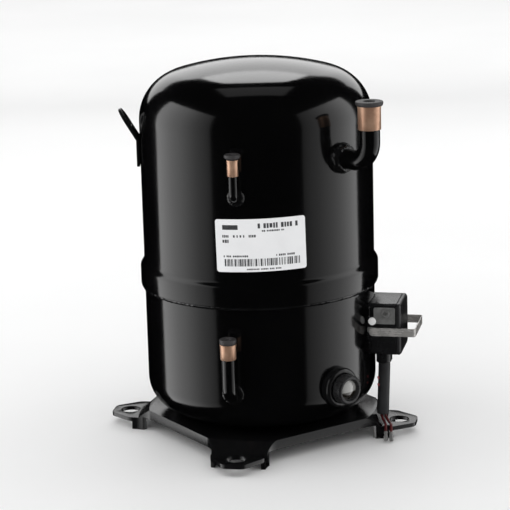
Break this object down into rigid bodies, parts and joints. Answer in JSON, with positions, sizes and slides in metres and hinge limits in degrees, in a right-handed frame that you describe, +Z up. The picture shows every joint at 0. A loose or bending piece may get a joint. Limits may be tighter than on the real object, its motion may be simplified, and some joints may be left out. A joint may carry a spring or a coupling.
{
  "type": "scroll compressor",
  "caption": "Hermetic scroll compressor in a welded two-part shell, with capped service tubes, sight glass, terminal box and a four-ear mounting base.",
  "frame": {"origin": "on the shell axis, at the level of the floor under the mounting ears", "axes": "+Z up along the shell axis; the mounting holes stand square to +X and +Y; the suction tube leaves towards -Y"},
  "size_m": [0.2399, 0.2719, 0.365],
  "materials": {
    "black_gloss_paint": "deep gloss black enamel over steel",
    "copper": null,
    "cap_rubber": "matt moulded rubber",
    "sight_glass": "clear fused glass",
    "label_film": "white satin label film with plain printed bars",
    "box_plastic": "black semi-gloss moulding",
    "cover_plastic": "satin black moulding",
    "spring_steel": "bright rolled spring strip",
    "plated_steel": "zinc plated steel",
    "sleeve_rubber": "matt extruded sleeving",
    "lead_insulation": "dark red insulation",
    "cast_iron": "machined grey iron",
    "ground_steel": "ground steel",
    "bearing_bronze": "lined bronze",
    "sintered_steel": "sintered steel",
    "tip_seal_polymer": "filled polymer",
    "core_steel": "stacked electrical steel",
    "cage_aluminium": "cast aluminium",
    "winding_copper": null,
    "pressed_steel": "pressed steel, oiled"
  },
  "bodies": {
    "root": {"box_studs": "black_gloss_paint", "cable_gland": "box_plastic", "cable_sleeve": "sleeve_rubber", "discharge_copper_end": "copper", "discharge_line": "pressed_steel", "discharge_muffler": "pressed_steel", "discharge_stub": "black_gloss_paint", "discharge_weld_collar": "black_gloss_paint", "fixed_scroll": "cast_iron", "fixed_tip_seal": "tip_seal_polymer", "ground_bracket": "plated_steel", "ground_screw": "plated_steel", "lead_connectors": "lead_insulation", "lifting_lug": "black_gloss_paint", "lower_bearing": "bearing_bronze", "lower_bearing_plate": "pressed_steel", "lower_shell": "black_gloss_paint", "main_bearing": "bearing_bronze", "main_frame": "cast_iron", "motor_lead_1": "lead_insulation", "motor_lead_2": "lead_insulation", "mounting_base": "black_gloss_paint", "nameplate_label": "label_film", "process_copper_end": "copper", "process_stub": "black_gloss_paint", "process_weld_collar": "black_gloss_paint", "scroll_bolts": "plated_steel", "seam_weld": "black_gloss_paint", "sight_glass_boss": "black_gloss_paint", "sight_glass_fitting": "black_gloss_paint", "sight_glass_lens": "sight_glass", "stator_bolts": "plated_steel", "stator_core": "core_steel", "stator_windings": "winding_copper", "suction_copper_end": "copper", "suction_stub": "black_gloss_paint", "suction_weld_collar": "black_gloss_paint", "terminal_box_body": "box_plastic", "terminal_pins": "plated_steel", "terminal_plug": "plated_steel", "upper_shell": "black_gloss_paint", "valve_retainer": "ground_steel"},
    "crankshaft": {"crankshaft": "ground_steel", "drive_bush": "ground_steel", "rotor_core": "core_steel", "rotor_cage": "cage_aluminium", "upper_counterweight": "cast_iron", "lower_counterweight": "cast_iron", "oil_pickup": "ground_steel"},
    "orbiting_scroll": {"orbiting_scroll": "cast_iron", "orbiting_tip_seal": "tip_seal_polymer", "orbiting_bearing": "bearing_bronze"},
    "thrust_washer": {"thrust_washer": "ground_steel"},
    "oldham_ring": {"oldham_ring": "sintered_steel"},
    "discharge_valve_disc": {"discharge_valve_disc": "ground_steel"},
    "suction_cap": {"suction_cap": "cap_rubber"},
    "discharge_cap": {"discharge_cap": "cap_rubber"},
    "process_cap": {"process_cap": "cap_rubber"},
    "terminal_cover": {"terminal_cover": "cover_plastic"},
    "cover_clip": {"cover_clip": "spring_steel"}
  },
  "joints": [
    {"name": "crankshaft_spin", "type": "hinge", "parent": "root", "child": "crankshaft", "pos_m": [0, 0, 0.1], "axis": [0, 0, 1], "continuous": true},
    {"name": "orbiting_scroll_turn", "type": "hinge", "parent": "crankshaft", "child": "orbiting_scroll", "pos_m": [0.0045, 0, 0.25], "axis": [0, 0, 1], "continuous": true},
    {"name": "thrust_washer_float", "type": "hinge", "parent": "crankshaft", "child": "thrust_washer", "pos_m": [0.00225, 0, 0.223], "axis": [0, 0, 1], "continuous": true},
    {"name": "oldham_ring_turn", "type": "hinge", "parent": "thrust_washer", "child": "oldham_ring", "pos_m": [0.0045, 0, 0.243], "axis": [0, 0, 1], "continuous": true},
    {"name": "discharge_valve_lift", "type": "slide", "parent": "root", "child": "discharge_valve_disc", "axis": [0, 0, 1], "range_m": [0, 0.002]},
    {"name": "suction_cap_pull", "type": "slide", "parent": "root", "child": "suction_cap", "axis": [0, 0, 1], "range_m": [0, 0.03]},
    {"name": "discharge_cap_pull", "type": "slide", "parent": "root", "child": "discharge_cap", "axis": [0, 0, 1], "range_m": [0, 0.02]},
    {"name": "process_cap_pull", "type": "slide", "parent": "root", "child": "process_cap", "axis": [0, 0, 1], "range_m": [0, 0.02]},
    {"name": "terminal_cover_pull", "type": "slide", "parent": "root", "child": "terminal_cover", "axis": [0.6947, -0.7193, 0], "range_m": [0, 0.03]},
    {"name": "cover_clip_swing", "type": "hinge", "parent": "terminal_cover", "child": "cover_clip", "pos_m": [0.07954, -0.08236, 0.107], "axis": [0.7193, 0.6947, 0], "range_deg": [0, 50]}
  ],
  "couplings": [
    {"joint": "orbiting_scroll_turn", "follows": "crankshaft_spin", "ratio": -1},
    {"joint": "thrust_washer_float", "follows": "crankshaft_spin", "ratio": -2},
    {"joint": "oldham_ring_turn", "follows": "crankshaft_spin", "ratio": 1}
  ]
}
